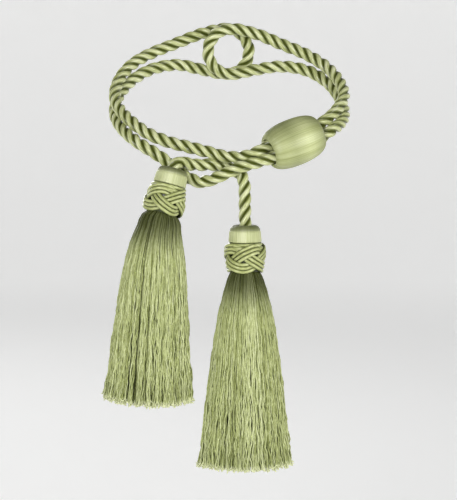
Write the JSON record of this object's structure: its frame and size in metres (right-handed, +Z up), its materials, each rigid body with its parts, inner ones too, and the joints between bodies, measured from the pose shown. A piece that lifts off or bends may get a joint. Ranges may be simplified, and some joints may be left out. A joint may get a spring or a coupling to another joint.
{
  "type": "curtain tieback tassel",
  "caption": "Sage-green curtain tieback: a closed ring of twisted rope with a threaded bead, and a second rope through its front bend with a tassel at each end.",
  "frame": {"origin": "The hook's place behind the gathered cloth, in the middle of both end loops of the ring", "axes": "+X right, +Y to the back, away from the gathered cloth, +Z up"},
  "size_m": [0.1692, 0.1364, 0.3036],
  "materials": {
    "rope": "satin",
    "bead": "satin",
    "cap": "satin",
    "knot": "satin",
    "skirt": "satin"
  },
  "bodies": {
    "root": {"ring_rope": "rope", "tassel_rope": "rope", "bead": "bead", "cap_left": "cap", "cap_right": "cap", "knot_left": "knot", "knot_right": "knot", "skirt_left": "skirt", "skirt_right": "skirt"}
  },
  "joints": []
}
